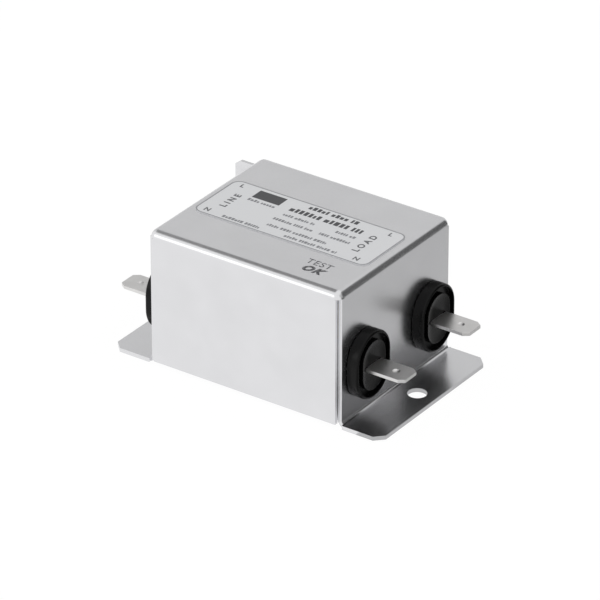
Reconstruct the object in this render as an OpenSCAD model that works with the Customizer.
// EMI line filter for two lines and earth. A folded sheet-steel can with two mounting flanges
// holds a small filter circuit on a board, and two blade terminals in moulded bushings come out
// of each end. Millimetres, +X towards the load end, +Z up. The origin lies on the mounting
// plane, under the middle of the case.

/* [Case] */
// Length of the case over its two end walls
case_l = 52; // [50:0.5:70]
// Width of the case over its front and rear flaps
case_w = 44; // [43:0.5:60]
// Height of the case above the mounting plane
case_h = 34.3; // [33:0.1:50]
// Thickness of the steel sheet
sheet_t = 1; // [0.8:0.05:1.2]
// Inside radius of every fold in the sheet
fold_r = 0.9; // [0.5:0.1:1.2]
// Slit between a flap's side edge and the end wall beside it
flap_gap = 0.1; // [0.05:0.05:0.5]
// Height of the flaps' lower edges above the mounting plane
flap_lift = 0.9; // [0.3:0.1:1.4]
// Distance by which the end walls stop short of the flaps' outer faces
end_inset = 0.95; // [0.6:0.05:1.2]

/* [Flanges] */
// Reach of each flange beyond its end wall
flange_reach = 10.8; // [10:0.1:16]
// Distance by which the flanges stop short of the flaps' outer faces
flange_inset = 0.4; // [0.2:0.05:0.6]
// Distance from an end wall's outer face to the step where its flange widens
flange_step = 0.4; // [0.2:0.1:0.8]
// Size of the 45 degree chamfer on the flange corners
flange_chamfer = 2.1; // [1:0.1:4]
// Diameter of the fixing hole in each flange
fix_hole_d = 4.5; // [3.2:0.1:5.5]
// Distance of each fixing hole from its end wall's outer face
fix_hole_out = 6; // [4.5:0.1:7]

/* [Terminals] */
// Distance from a bushing's head to the outer face of the flap beside it
head_margin = 2.55; // [2.4:0.05:3.4]
// Height of the terminals' mid plane above the mounting plane
terminal_z = 13.3; // [12.8:0.1:16]
// Width of a blade
blade_w = 6.3; // [4.8:0.1:6.3]
// Thickness of a blade
blade_t = 0.8; // [0.5:0.1:0.8]
// Length of a line or load blade, from its shoulders to its tip
blade_l = 10; // [8:0.1:12]
// Gap between the bushing's face and the blade's shoulders
shoulder_gap = 0.1; // [0.1:0.1:0.6]
// Width of the neck that runs through the bushing
neck_w = 4.2; // [3:0.1:4.4]
// Width of the solder tail inside the case
tail_w = 3; // [2.4:0.1:3.4]
// Length of the solder tail beyond the bushing
tail_l = 3; // [2.6:0.1:3.4]
// Length of the chamfers on a blade's tip
tip_chamfer_l = 1.4; // [0.8:0.1:2]
// Width of the chamfers on a blade's tip
tip_chamfer_w = 1; // [0.5:0.1:1.5]
// Diameter of the latching dimple
dimple_d = 1.8; // [1.2:0.1:2.2]
// Distance of the dimple from the blade's tip
dimple_from_tip = 3.9; // [3:0.1:4.6]

/* [Bushings] */
// Width of the bushing's oval head outside the end wall
head_w = 13.2; // [13:0.1:14]
// Height of the head
head_h = 16.5; // [14.5:0.1:17]
// Thickness of the head
head_t = 3.1; // [2.4:0.1:4.5]
// Radius of the head's rounded rims
head_round = 0.6; // [0.3:0.1:0.6]
// Diameter of the hole in the end wall
bush_hole_d = 12; // [10:0.1:12.6]
// Radial clearance of the bushing's barrel in that hole
bush_clear = 0.1; // [0.05:0.05:0.2]
// Length of the barrel inside the case
barrel_l = 4.5; // [3:0.1:5]
// Height of the snap ridge that holds the barrel behind the wall
snap_h = 0.6; // [0.3:0.05:0.8]
// Play between the snap ridge and the wall's inner face
snap_play = 0.1; // [0.05:0.05:0.3]
// Thickness of the snap fingers
finger_t = 1.3; // [1:0.1:1.6]
// Width of the slots between the snap fingers
finger_slot = 1; // [0.6:0.1:1.6]
// Width of the raised rim around the head's face
rim_w = 0.6; // [0.6:0.1:1.2]
// Depth of the face below the rim
face_drop = 0.4; // [0.2:0.1:0.8]
// Width of the groove between the rim and the face
groove_w = 1.2; // [0.6:0.1:1.4]
// Depth of the groove below the face
groove_depth = 0.8; // [0.4:0.1:1]

/* [Earth blade] */
// Length of the earth blade beyond the rear flap's side edge
earth_l = 8; // [7.5:0.1:10]
// Height of the earth blade's upper edge above the mounting plane
earth_top_z = 31.4; // [28:0.1:32]
// Clearance of the earth blade in the notch of the end wall
earth_clear = 0.3; // [0.2:0.1:0.6]

/* [Label] */
// Distance from the end walls' outer faces to the label's short sides
label_margin = 2.5; // [2:0.1:10]
// Width of the label
label_w = 17.4; // [12:0.2:36]
// Thickness of the label
label_t = 0.15; // [0.1:0.05:0.3]
// Corner radius of the label
label_r = 2.2; // [1:0.1:4]

/* [Base plate and liner] */
// Thickness of the base plate
base_t = 0.8; // [0.5:0.1:1]
// Height of the base plate's upturned lips
base_lip = 6; // [4:0.5:10]
// Clearance of the base plate to the end walls
base_clear = 0.4; // [0.2:0.1:1]
// Thickness of the insulating liner
liner_t = 0.3; // [0.2:0.05:0.5]

/* [Board] */
// Thickness of the circuit board
board_t = 1.6; // [1:0.2:2]
// Space between the liner and the board
board_lift = 2.5; // [2:0.1:4]
// Clearance of the board to the liner's sides and to the end walls
board_clear = 0.5; // [0.4:0.1:1]
// Length of the leads below the board
lead_stick = 1.4; // [0.8:0.1:1.8]
// Radial clearance of a lead in its hole
lead_clear = 0.15; // [0.1:0.05:0.25]
// Inset of the board pillars from the board's short edges
pillar_inset = 2.6; // [2.4:0.1:4]

/* [Choke] */
// Outer diameter of the ferrite ring
core_d = 25; // [22:0.5:25]
// Inner diameter of the ferrite ring
core_hole_d = 15; // [12:0.5:15]
// Height of the ferrite ring
core_h = 12; // [8:0.5:14]
// Diameter of the winding wire
wire_d = 0.8; // [0.5:0.1:0.9]
// Turns of each winding
turns = 12; // [6:1:14]
// Angle that each winding covers on the ring
winding_angle = 140; // [110:5:145]

/* [Capacitors and resistor] */
// Length of an X capacitor's box
x_cap_l = 18; // [13:0.5:20]
// Thickness of an X capacitor's box
x_cap_t = 5; // [4:0.1:5]
// Height of an X capacitor's box
x_cap_h = 14; // [10:0.5:18]
// Distance between an X capacitor's two leads
x_cap_pitch = 15; // [10:0.5:15]
// Diameter of a Y capacitor's disc
y_cap_d = 8.5; // [6:0.1:9]
// Thickness of a Y capacitor's disc
y_cap_t = 3.4; // [2.5:0.1:3.6]
// Length of the resistor's body
resistor_l = 9; // [6:0.1:10]
// Diameter of the resistor's body
resistor_d = 3.2; // [2:0.1:3.6]

/* [Hidden] */

$fn = 64;
eps = 0.01;       // overlap that lets a cut run past a face
LINE = -1;        // side of the line end along X
LOAD = 1;         // side of the load end along X
NEUTRAL = -1;     // row of the neutral terminals along Y
LIVE = 1;         // row of the live terminals along Y

// Case
fold_out = fold_r + sheet_t;                      // outside radius of a fold
fold_x = case_l / 2 - fold_out;                   // centre lines of the top's folds
fold_y = case_w / 2 - fold_out;
fold_z = case_h - fold_out;
inner_l = case_l - 2 * sheet_t;
inner_w = case_w - 2 * sheet_t;
flap_half = inner_l / 2 - flap_gap;               // flap's side edge, from the middle
fix_hole_x = case_l / 2 + fix_hole_out;
earth_bottom_z = earth_top_z - blade_w;
earth_root = 1;                                   // length of the earth blade that runs into the flap
label_l = case_l - 2 * label_margin;

// Bushings and terminals
terminal_y = case_w / 2 - head_margin - head_w / 2;           // terminals, from the middle
barrel_r = bush_hole_d / 2 - bush_clear;
snap_r = barrel_r + snap_h;
post_wall = 1.2;                                  // wall between the terminal's neck and the moat
post_r = neck_w / 2 + post_wall;
barrel_end = -sheet_t - barrel_l;                 // barrel's inner end, from the wall's outer face
head_straight = head_h - head_w;                  // straight part of the head's long sides
face_x = head_t - face_drop;                      // bushing's face, from the wall's outer face
shoulder_x = face_x + shoulder_gap;               // blade's shoulders, from the wall's outer face
tail_hole_x = barrel_end - tail_l / 2;            // hole for the lead wire in the solder tail
lead_d = 1;                                       // diameter of a lead wire
lead_bend_r = 1.5;
lead_x = case_l / 2 + tail_hole_x;                // lead wires, from the middle
lead_y = terminal_y;

// Levels inside the case
base_top = flap_lift + base_t;
liner_top = base_top + liner_t;
board_z = liner_top + board_lift;
board_top = board_z + board_t;
lead_low = board_z - lead_stick;                  // lower ends of all leads
base_l = inner_l - 2 * base_clear;
liner_w = inner_w - 2 * base_t;                   // over the liner's upturned sides
board_l = inner_l - 2 * board_clear;
board_w = liner_w - 2 * liner_t - 2 * board_clear;
board_corner = 1;                                 // corner radius of the board

// Board pillars
pillar_d = 5;
pillar_x = board_l / 2 - pillar_inset;
pillar_y = liner_w / 2 - liner_t - fold_r - pillar_d / 2;     // clear of the liner's folds
peg_d = 2.8;
peg_head_d = 3.8;
peg_head_h = 1.2;

// Choke
holder_t = 1.5;                                   // thickness of the holder's disc
pad_clear = 0.3;                                  // clearance of the holder's pads to the first turns
wire_gap = 0.2;                                   // clearance of the wire to the ring
pad_h = wire_d + 2 * wire_gap + 0.1;              // pads that lift the ring off the disc
core_z = board_top + holder_t + pad_h;            // underside of the ring
core_round = 0.8;
ring_mid_r = (core_d + core_hole_d) / 4;
ring_half_w = (core_d - core_hole_d) / 4;
turn_half_w = ring_half_w + wire_d / 2 + wire_gap;
turn_half_h = core_h / 2 + wire_d / 2 + wire_gap;
turn_steps = 12;                                  // points of the wire's path in one turn
turn_power = 0.2;                                 // squareness of a turn, 1 is an ellipse
wire_sides = 6;
holder_r = ring_mid_r + turn_half_w - wire_d - 0.5;
divider_t = 1.6;
divider_gap = 0.2;
lead_out_r = ring_mid_r + turn_half_w;

// Capacitors and resistor
x_cap_x = core_d / 2 + 1.3 + x_cap_t / 2;         // middle of an X capacitor
x_cap_round = 0.6;
cap_lead_d = 0.8;
y_cap_x = 7.5;
row_edge = 2.7;                                   // small parts' rows, from the board's edge
y_cap_y = -(board_w / 2 - row_edge);
y_cap_pitch = 5;
y_cap_lift = 1.2;                                 // gap between the disc and the board
thin_lead_d = 0.6;
resistor_x = -9;
resistor_y = board_w / 2 - row_edge;
resistor_z = board_top + resistor_d / 2 + 0.3;
resistor_lead_l = 2;                              // straight lead beside the body, with its bend
resistor_pitch = resistor_l + 2 * resistor_lead_l;
resistor_bend_r = 1;

// Earth strap
strap_x = 8;
strap_w = 4;
strap_t = 0.5;
strap_pin_w = 2;
strap_edge = 1.6;
strap_y = board_w / 2 - strap_edge;               // strap's leg in the board
strap_step_z = board_top + base_lip / 2;
strap_foot_h = 8;                                 // height of the strap's foot on the base plate's lip
strap_top_z = strap_step_z + strap_foot_h;
strap_lift = 0.5;                                 // gap between the wide part and the board
strap_pin_root = 0.5;                             // overlap of the pin with the wide part
strap_slot_clear = 0.15;

// ---- shapes that repeat ----

// Rectangle with round corners, centred
module rounded_rect(size, r) {
    square([size[0] - 2 * r, size[1]], center = true);
    square([size[0], size[1] - 2 * r], center = true);
    for (x = [-1, 1], y = [-1, 1])
        translate([x * (size[0] / 2 - r), y * (size[1] / 2 - r)]) circle(r);
}

// Section of a fold: a quarter ring around the origin, turned to start at angle a
module fold_section(r_in, r_out, a) {
    rotate(a) difference() {
        intersection() {
            circle(r_out);
            square(r_out);
        }
        circle(r_in);
    }
}

// Stands a section drawn in X and Z up, and extrudes it along Y about the middle
module along_y(w) {
    rotate([90, 0, 0]) linear_extrude(w, center = true) children();
}

// Stands a section drawn in Y and Z up, and extrudes it along X about the middle
module along_x(l) {
    rotate([90, 0, 90]) linear_extrude(l, center = true) children();
}

// Puts a shape built about the origin, outward along +X, at one of the four terminals
module at_terminal(end, row) {
    mirror([end < 0 ? 1 : 0, 0, 0])
        translate([case_l / 2, row * terminal_y, terminal_z]) children();
}

// Round lead from below the board up to height z
module upright_lead(x, y, d, z) {
    translate([x, y, lead_low]) cylinder(d = d, h = z - lead_low);
}

// Outline of a blade lying along +X from its root to its chamfered tip
module blade_outline(l) {
    half = blade_w / 2;
    polygon([[0, -half], [l - tip_chamfer_l, -half], [l, -half + tip_chamfer_w],
             [l, half - tip_chamfer_w], [l - tip_chamfer_l, half], [0, half]]);
}

// Ball that presses the dimple into a face at height t
module dimple_ball(t) {
    depth = 0.3;
    ball_r = (dimple_d * dimple_d / 4 + depth * depth) / (2 * depth);
    translate([0, 0, t + ball_r - depth]) sphere(ball_r);
}

// ---- case ----

// Section of one end wall with its flange, in X and Z
module end_wall_section() {
    translate([case_l / 2 - sheet_t, fold_out]) square([sheet_t, fold_z - fold_out]);
    translate([case_l / 2 + fold_r, fold_out]) fold_section(fold_r, fold_out, 180);
    translate([case_l / 2 + fold_r, 0]) square([flange_reach - fold_r, sheet_t]);
}

// Plan of the flanges, with their corners chamfered
module flange_plan() {
    x = case_l / 2 + flange_reach;
    y = case_w / 2 - flange_inset;
    c = flange_chamfer;
    polygon([[-x, -y + c], [-x + c, -y], [x - c, -y], [x, -y + c],
             [x, y - c], [x - c, y], [-x + c, y], [-x, y - c]]);
}

// End walls with the flanges, which widen where they leave the folds
module end_walls() {
    intersection() {
        union() {
            along_y(case_w - 2 * end_inset) {
                end_wall_section();
                mirror([1, 0]) end_wall_section();
            }
            along_y(case_w) for (s = [0, 1]) mirror([s, 0]) intersection() {
                end_wall_section();
                translate([case_l / 2 + flange_step, 0]) square([flange_reach, fold_out]);
            }
        }
        linear_extrude(case_h) flange_plan();
    }
}

// Front and rear flaps
module flaps() {
    for (y = [-1, 1])
        translate([-flap_half, y * (case_w - sheet_t) / 2 - sheet_t / 2, flap_lift])
            cube([2 * flap_half, sheet_t, fold_z - flap_lift]);
}

// Top with the four folds, which run round the corners as quarter balls
module top() {
    translate([-fold_x, -fold_y, case_h - sheet_t]) cube([2 * fold_x, 2 * fold_y, sheet_t]);
    along_y(2 * fold_y) for (s = [0, 1])
        mirror([s, 0]) translate([fold_x, fold_z]) fold_section(fold_r, fold_out, 0);
    along_x(2 * fold_x) for (s = [0, 1])
        mirror([s, 0]) translate([fold_y, fold_z]) fold_section(fold_r, fold_out, 0);
    for (x = [-1, 1], y = [-1, 1])
        translate([x * fold_x, y * fold_y, fold_z]) intersection() {
            difference() {
                sphere(fold_out);
                sphere(fold_r);
            }
            translate([x * fold_out / 2, y * fold_out / 2, fold_out / 2]) cube(fold_out, center = true);
        }
}

// The rear flap runs on past the line end's wall as the earth blade, pressed to a blade's thickness
module earth_blade() {
    translate([-flap_half + earth_root, case_w / 2, earth_bottom_z + blade_w / 2])
        rotate([90, 0, 0]) mirror([1, 0, 0]) difference() {
            linear_extrude(blade_t) blade_outline(earth_l + earth_root);
            translate([earth_l + earth_root - dimple_from_tip, 0, 0]) dimple_ball(blade_t);
        }
}

// Notch in the line end's wall where the earth blade passes
module earth_notch() {
    notch = case_w - inner_w + 2 * earth_clear;
    translate([-case_l / 2 - eps, case_w / 2 - notch / 2, earth_bottom_z - earth_clear])
        cube([sheet_t + fold_r, notch, blade_w + 2 * earth_clear]);
}

module case() {
    color("lightgray") {
        difference() {
            union() {
                difference() {
                    end_walls();
                    earth_notch();
                }
                flaps();
                top();
            }
            for (s = [-1, 1])
                translate([s * fix_hole_x, 0, -eps])
                    cylinder(d = fix_hole_d, h = sheet_t + 2 * eps);
            for (end = [LINE, LOAD], row = [NEUTRAL, LIVE])
                at_terminal(end, row) rotate([0, 90, 0])
                    cylinder(d = bush_hole_d, h = 4 * sheet_t, center = true);
        }
        earth_blade();
    }
}

module label() {
    color("whitesmoke") translate([0, 0, case_h])
        linear_extrude(label_t) rounded_rect([label_l, label_w], label_r);
}

// ---- base plate and liner ----

// Section of half a tray of thickness t with upturned sides, in Y and Z
module tray_half_section(w, t, lip) {
    r_out = fold_r + t;
    square([w / 2 - r_out, t]);
    translate([w / 2 - r_out, r_out]) fold_section(fold_r, r_out, 270);
    translate([w / 2 - t, r_out]) square([t, lip - r_out]);
}

module tray(l, w, t, lip) {
    along_x(l) {
        tray_half_section(w, t, lip);
        mirror([1, 0]) tray_half_section(w, t, lip);
    }
}

module base_plate() {
    color("silver") translate([0, 0, flap_lift]) tray(base_l, inner_w, base_t, base_lip);
}

module liner() {
    color("khaki") translate([0, 0, base_top]) tray(base_l, liner_w, liner_t, base_lip - base_t);
}

// ---- bushings and terminals, built outward along +X from the wall's outer face ----

// Section of the head's rounded edge: x is the distance from the middle, y runs outward
module head_section() {
    r = head_w / 2;
    square([r - head_round, head_t]);
    translate([0, head_round]) square([r, head_t - 2 * head_round]);
    for (y = [head_round, head_t - head_round])
        translate([r - head_round, y]) circle(head_round);
}

// The head: half round at the top and the bottom, straight in between
module head() {
    for (z = [-1, 1])
        translate([0, 0, z * head_straight / 2]) rotate([0, 90, 0]) rotate_extrude() head_section();
    linear_extrude(head_straight, center = true) {
        rotate(-90) head_section();
        mirror([0, 1]) rotate(-90) head_section();
    }
}

// Upright oval at a given inset from the head's edge, and h thick along X
module oval_plate(inset, h) {
    r = head_w / 2 - inset;
    rotate([0, 90, 0]) linear_extrude(h) {
        for (x = [-1, 1]) translate([x * head_straight / 2, 0]) circle(r);
        square([head_straight, 2 * r], center = true);
    }
}

// Revolved section of the barrel: a neck in the wall's hole, a snap ridge behind it and a lead-in
// cone, with a moat that parts the fingers from the post round the terminal
module barrel_section() {
    ridge_y = -sheet_t - snap_play;
    ridge_flat = 0.5;
    difference() {
        polygon([[0, barrel_end], [barrel_r - snap_h, barrel_end], [snap_r, ridge_y - ridge_flat],
                 [snap_r, ridge_y], [barrel_r, ridge_y], [barrel_r, head_t / 2], [0, head_t / 2]]);
        translate([post_r, barrel_end - 1]) square([barrel_r - finger_t - post_r, 1 - barrel_end]);
    }
}

// Slots that split the barrel's rim into four fingers and leave the post whole
module finger_slots() {
    difference() {
        for (a = [45, 135])
            rotate([a, 0, 0]) translate([barrel_end - 1, -snap_r - 1, -finger_slot / 2])
                cube([1 - barrel_end, 2 * snap_r + 2, finger_slot]);
        translate([barrel_end - 2, 0, 0]) rotate([0, 90, 0])
            cylinder(r = (post_r + barrel_r - finger_t) / 2, h = 3 - barrel_end);
    }
}

module bushing() {
    color([0.07, 0.07, 0.07]) difference() {
        union() {
            head();
            rotate([0, 90, 0]) rotate_extrude() barrel_section();
        }
        translate([face_x, 0, 0]) oval_plate(rim_w + groove_w / 2, head_t);
        translate([face_x - groove_depth, 0, 0]) difference() {
            oval_plate(rim_w, head_t);
            translate([-1, 0, 0]) oval_plate(rim_w + groove_w, head_t + 2);
        }
        finger_slots();
        translate([(head_t + barrel_end) / 2, 0, 0])
            cube([head_t - barrel_end + 1, neck_w, blade_t], center = true);
    }
}

module terminal() {
    color("gainsboro") translate([0, 0, -blade_t / 2]) difference() {
        linear_extrude(blade_t) difference() {
            union() {
                translate([shoulder_x, 0]) blade_outline(blade_l);
                translate([barrel_end, -neck_w / 2]) square([shoulder_x - barrel_end, neck_w]);
                translate([barrel_end - tail_l, -tail_w / 2]) square([tail_l + eps, tail_w]);
            }
            translate([tail_hole_x, 0]) circle(d = lead_d + 2 * lead_clear);
        }
        translate([shoulder_x + blade_l - dimple_from_tip, 0, 0]) dimple_ball(blade_t);
    }
}

// Tinned wire from a terminal's solder tail down into the board, hooked over at its top
module lead_wire(end, row) {
    top = terminal_z + blade_t / 2 + lead_d / 2;
    color("silver") mirror([end < 0 ? 1 : 0, 0, 0]) translate([0, row * lead_y, 0]) {
        upright_lead(lead_x, 0, lead_d, top);
        translate([lead_x - lead_bend_r, 0, top]) rotate([90, 0, 0])
            rotate_extrude(angle = 90) translate([lead_bend_r, 0]) circle(d = lead_d);
    }
}

// ---- board ----

module board_holes() {
    for (x = [-1, 1], y = [-1, 1]) {
        translate([x * pillar_x, y * pillar_y]) circle(d = peg_d + 2 * lead_clear);
        translate([x * lead_x, y * lead_y]) circle(d = lead_d + 2 * lead_clear);
        translate([x * x_cap_x, y * x_cap_pitch / 2]) circle(d = cap_lead_d + 2 * lead_clear);
        translate([x * y_cap_x + y * y_cap_pitch / 2, y_cap_y])
            circle(d = thin_lead_d + 2 * lead_clear);
    }
    for (x = [-1, 1])
        translate([resistor_x + x * resistor_pitch / 2, resistor_y])
            circle(d = thin_lead_d + 2 * lead_clear);
    for (half_turn = [0, 180], s = [-1, 1])
        rotate(half_turn + 90 + s * winding_angle / 2)
            translate([lead_out_r, 0]) circle(d = wire_d + 2 * lead_clear);
    translate([strap_x, strap_y])
        square([strap_pin_w + 2 * strap_slot_clear, strap_t + 2 * strap_slot_clear], center = true);
}

module circuit_board() {
    color("darkgoldenrod") translate([0, 0, board_z]) linear_extrude(board_t) difference() {
        rounded_rect([board_l, board_w], board_corner);
        board_holes();
    }
}

// Four stand-off pillars whose pegs snap into the board
module board_pillars() {
    color("ivory") for (x = [-1, 1], y = [-1, 1]) translate([x * pillar_x, y * pillar_y, liner_top]) {
        cylinder(d = pillar_d, h = board_lift);
        cylinder(d = peg_d, h = board_lift + board_t + eps);
        translate([0, 0, board_lift + board_t])
            cylinder(d1 = peg_head_d, d2 = peg_d, h = peg_head_h);
    }
}

// ---- choke ----

module choke_core() {
    color("dimgray") translate([0, 0, core_z + core_h / 2]) rotate_extrude()
        translate([ring_mid_r, 0]) rounded_rect([2 * ring_half_w, core_h], core_round);
}

// Disc under the ring with two lifting pads, and the divider that stands in the ring's hole
module choke_holder() {
    pad_w = core_hole_d * sin(winding_start) - wire_d - 2 * pad_clear;
    divider_h = core_z + core_h + wire_d + wire_gap - board_top;
    color("darkslategray") translate([0, 0, board_top]) {
        cylinder(r = holder_r, h = holder_t);
        intersection() {
            translate([0, 0, (holder_t + pad_h) / 2])
                cube([core_d, pad_w, holder_t + pad_h], center = true);
            difference() {
                cylinder(r = holder_r, h = holder_t + pad_h);
                translate([0, 0, holder_t]) cylinder(d = core_hole_d - 2 * divider_gap, h = pad_h + 1);
            }
        }
        translate([0, 0, divider_h / 2])
            cube([core_hole_d - 2 * divider_gap, divider_t, divider_h], center = true);
    }
}

// Signed power, which squares off the round path of a turn
function squared(v) = sign(v) * pow(abs(v), turn_power);

// Point at radius r, angle a about the ring's axis and height z
function ring_point(r, a, z) = [r * cos(a), r * sin(a), z];

// Point number i on the wire's path around the ring: it climbs outside and comes back inside
function turn_point(i) =
    let (around = 360 * i / turn_steps,
         along = 90 - winding_angle / 2 + winding_angle * i / (turns * turn_steps))
    ring_point(ring_mid_r + turn_half_w * squared(cos(around)), along,
               core_z + core_h / 2 + turn_half_h * squared(sin(around)));

// Whole path: up from the board, round the ring turn by turn, and out and down again
winding_start = 90 - winding_angle / 2;
winding_end = 90 + winding_angle / 2;
turn_low_z = core_z - wire_d / 2 - wire_gap;
winding_path = concat(
    [ring_point(lead_out_r, winding_start, lead_low), ring_point(lead_out_r, winding_start, core_z)],
    [for (i = [0 : turns * turn_steps - turn_steps / 4]) turn_point(i)],
    [ring_point(lead_out_r - 0.5, winding_end, turn_low_z),
     ring_point(lead_out_r, winding_end, turn_low_z - 0.5),
     ring_point(lead_out_r, winding_end, lead_low)]);

function unit(v) = v / norm(v);

// Direction of the path at point i
function heading(path, i) =
    unit(path[min(i + 1, len(path) - 1)] - path[max(i - 1, 0)]);

// Side vectors carried along the path with as little twist as possible
function side_vectors(path) =
    [for (i = 0, s = unit(cross(heading(path, 0), [1, 0.3, 0]));
          i < len(path);
          i = i + 1, s = i < len(path) ? unit(s - (s * heading(path, i)) * heading(path, i)) : s) s];

// Closed tube of n sides and diameter d along a path
module tube(path, d, n) {
    sides = side_vectors(path);
    last = len(path) - 1;
    points = [for (i = [0 : last], k = [0 : n - 1])
        let (h = heading(path, i), s = sides[i], w = cross(h, s))
        path[i] + d / 2 * (cos(360 * k / n) * s + sin(360 * k / n) * w)];
    walls = [for (i = [0 : last - 1], k = [0 : n - 1])
        let (a = i * n + k, b = i * n + (k + 1) % n) [a, a + n, b + n, b]];
    start_cap = [for (k = [0 : n - 1]) k];
    end_cap = [for (k = [n - 1 : -1 : 0]) last * n + k];
    polyhedron(points, concat(walls, [start_cap], [end_cap]), convexity = 10);
}

module winding(half_turn) {
    color("chocolate") rotate(half_turn) tube(winding_path, wire_d, wire_sides);
}

// ---- capacitors, resistor and earth strap ----

module x_capacitor(end) {
    color("gold") {
        translate([end * x_cap_x, 0, board_top]) linear_extrude(x_cap_h)
            rounded_rect([x_cap_t, x_cap_l], x_cap_round);
        for (y = [-1, 1])
            upright_lead(end * x_cap_x, y * x_cap_pitch / 2, cap_lead_d, board_top + 1);
    }
}

module y_capacitor(row) {
    disc_round = 1;
    x = -row * y_cap_x;
    mid_z = board_top + y_cap_lift + y_cap_d / 2;
    color("royalblue") {
        translate([x, y_cap_y, mid_z]) rotate([90, 0, 0]) rotate_extrude() {
            translate([0, -y_cap_t / 2]) square([y_cap_d / 2 - disc_round, y_cap_t]);
            translate([0, disc_round - y_cap_t / 2])
                square([y_cap_d / 2, y_cap_t - 2 * disc_round]);
            for (s = [-1, 1])
                translate([y_cap_d / 2 - disc_round, s * (y_cap_t / 2 - disc_round)])
                    circle(disc_round);
        }
        for (s = [-1, 1])
            upright_lead(x + s * y_cap_pitch / 2, y_cap_y, thin_lead_d, mid_z);
    }
}

module bleed_resistor() {
    cap_l = 2;
    waist = 0.3;
    straight = resistor_pitch / 2 - resistor_bend_r;
    color("skyblue") translate([resistor_x, resistor_y, 0]) {
        translate([0, 0, resistor_z]) rotate([0, 90, 0]) {
            cylinder(d = resistor_d - 2 * waist, h = resistor_l, center = true);
            for (s = [-1, 1])
                translate([0, 0, s * (resistor_l - cap_l) / 2])
                    cylinder(d = resistor_d, h = cap_l, center = true);
            cylinder(d = thin_lead_d, h = 2 * straight, center = true);
        }
        for (s = [-1, 1]) {
            upright_lead(s * resistor_pitch / 2, 0, thin_lead_d, resistor_z - resistor_bend_r);
            translate([s * straight, 0, resistor_z - resistor_bend_r])
                rotate([90, s > 0 ? 0 : -90, 0])
                    rotate_extrude(angle = 90) translate([resistor_bend_r, 0]) circle(d = thin_lead_d);
        }
    }
}

// Stepped strap: a leg in the board, a step over the board's edge, and a foot on the rear flap
module earth_strap() {
    foot_y = inner_w / 2 - strap_t;
    leg_y = strap_y - strap_t / 2;
    leg_z = board_top + strap_lift;
    color("silver") translate([strap_x, 0, 0]) {
        translate([-strap_pin_w / 2, leg_y, lead_low])
            cube([strap_pin_w, strap_t, leg_z + strap_pin_root - lead_low]);
        translate([-strap_w / 2, leg_y, leg_z]) cube([strap_w, strap_t, strap_step_z + strap_t - leg_z]);
        translate([-strap_w / 2, leg_y, strap_step_z])
            cube([strap_w, inner_w / 2 - leg_y, strap_t]);
        translate([-strap_w / 2, foot_y, strap_step_z]) cube([strap_w, strap_t, strap_foot_h]);
    }
}

case();
base_plate();
liner();
label();
at_terminal(LINE, NEUTRAL) bushing();  // bushing_line_neutral
at_terminal(LINE, LIVE) bushing();  // bushing_line_live
at_terminal(LOAD, NEUTRAL) bushing();  // bushing_load_neutral
at_terminal(LOAD, LIVE) bushing();  // bushing_load_live
at_terminal(LINE, NEUTRAL) terminal();  // terminal_line_neutral
at_terminal(LINE, LIVE) terminal();  // terminal_line_live
at_terminal(LOAD, NEUTRAL) terminal();  // terminal_load_neutral
at_terminal(LOAD, LIVE) terminal();  // terminal_load_live
circuit_board();
board_pillars();
choke_core();
choke_holder();
winding(180);  // winding_neutral
winding(0);  // winding_live
x_capacitor(LINE);  // x_capacitor_line
x_capacitor(LOAD);  // x_capacitor_load
y_capacitor(NEUTRAL);  // y_capacitor_neutral
y_capacitor(LIVE);  // y_capacitor_live
bleed_resistor();
lead_wire(LINE, NEUTRAL);  // lead_wire_line_neutral
lead_wire(LINE, LIVE);  // lead_wire_line_live
lead_wire(LOAD, NEUTRAL);  // lead_wire_load_neutral
lead_wire(LOAD, LIVE);  // lead_wire_load_live
earth_strap();
